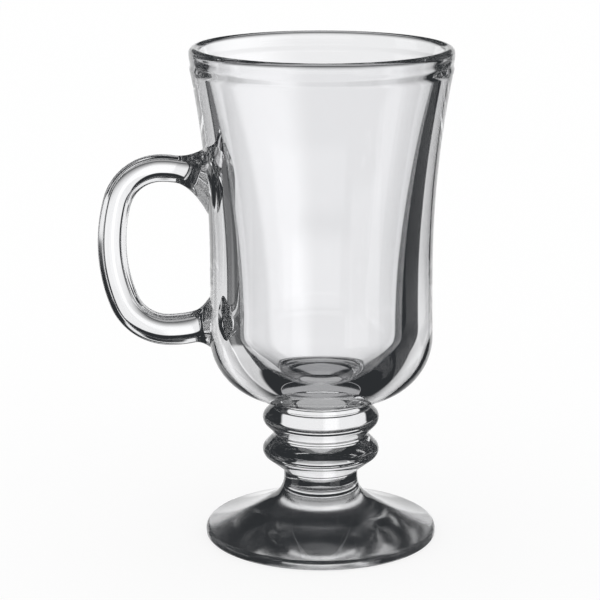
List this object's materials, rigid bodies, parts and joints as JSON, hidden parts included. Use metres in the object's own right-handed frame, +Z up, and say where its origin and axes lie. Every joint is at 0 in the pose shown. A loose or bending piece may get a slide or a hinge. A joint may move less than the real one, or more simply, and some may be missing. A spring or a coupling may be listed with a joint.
{
  "type": "irish coffee glass mug",
  "caption": "Stemmed clear glass mug for hot drinks: a flared bowl with a beaded lip on a ringed stem and trumpet foot, with an ear handle on its side.",
  "frame": {"origin": "on the mug's axis, in the plane of the ring that it stands on", "axes": "+Z up along the bowl's axis, handle along -X, Y across"},
  "size_m": [0.1031, 0.076, 0.146],
  "materials": {
    "clear_glass": "clear fire-polished pressed soda-lime glass"
  },
  "bodies": {
    "root": {"bowl": "clear_glass", "handle": "clear_glass", "upper_ring": "clear_glass", "lower_ring": "clear_glass", "stem": "clear_glass", "foot": "clear_glass"}
  },
  "joints": []
}
